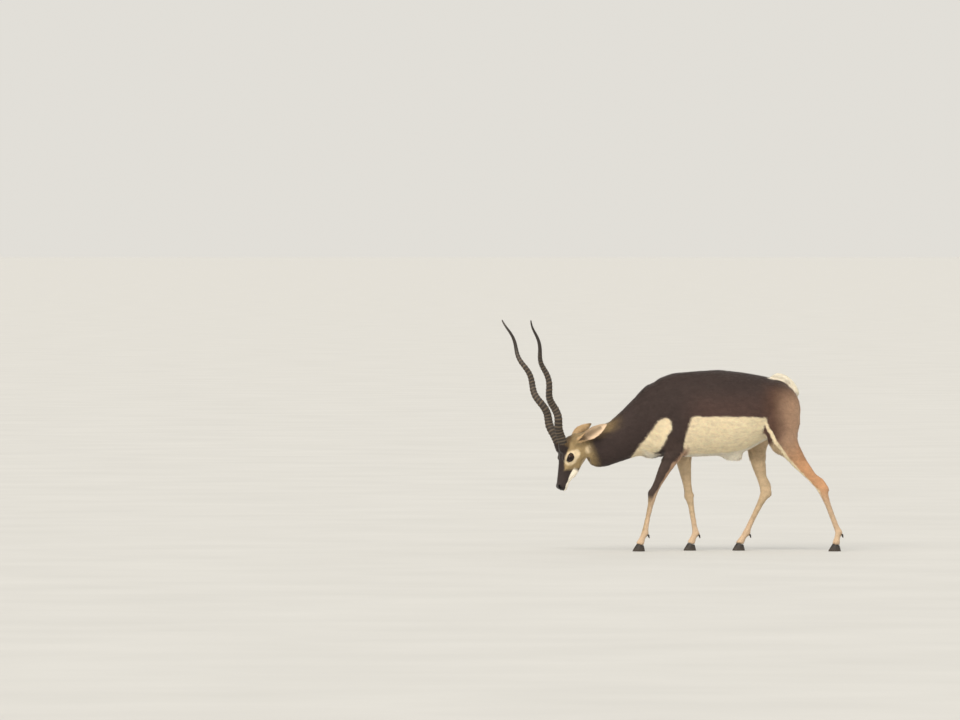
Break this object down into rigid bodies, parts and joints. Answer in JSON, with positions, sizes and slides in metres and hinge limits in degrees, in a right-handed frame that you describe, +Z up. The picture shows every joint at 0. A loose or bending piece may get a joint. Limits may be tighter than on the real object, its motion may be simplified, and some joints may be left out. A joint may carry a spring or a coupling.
{
  "type": "blackbuck",
  "caption": "Life-size adult male blackbuck standing in a walking stance with its head lowered and its long corkscrew horns pointing forward and up.",
  "frame": {"origin": "on the floor under the middle of the animal's bounding box", "axes": "+Z up; the animal faces -X; its left side is towards -Y"},
  "size_m": [1.5028, 0.435, 1.0184],
  "materials": {
    "coat": "short dark brown fur with white chest and belly",
    "leg_coat": "short tan fur",
    "tail": "longer fur, dark above and white below",
    "ear": "short pale tan fur, thin skin inside",
    "horn": "dark ringed horn, satin",
    "hoof": "dark horn, satin",
    "eye": "wet, very dark brown"
  },
  "bodies": {
    "root": {"claw_fore_left_inner": "hoof", "claw_fore_left_outer": "hoof", "claw_fore_right_inner": "hoof", "claw_fore_right_outer": "hoof", "claw_hind_left_inner": "hoof", "claw_hind_left_outer": "hoof", "claw_hind_right_inner": "hoof", "claw_hind_right_outer": "hoof", "dewclaw_fore_left_inner": "hoof", "dewclaw_fore_left_outer": "hoof", "dewclaw_fore_right_inner": "hoof", "dewclaw_fore_right_outer": "hoof", "dewclaw_hind_left_inner": "hoof", "dewclaw_hind_left_outer": "hoof", "dewclaw_hind_right_inner": "hoof", "dewclaw_hind_right_outer": "hoof", "ear_left": "ear", "ear_right": "ear", "eye_left": "eye", "eye_right": "eye", "foreleg_left": "leg_coat", "foreleg_right": "leg_coat", "head": "coat", "hindleg_left": "leg_coat", "hindleg_right": "leg_coat", "horn_left": "horn", "horn_right": "horn", "neck": "coat", "tail": "tail", "torso": "coat"}
  },
  "joints": []
}
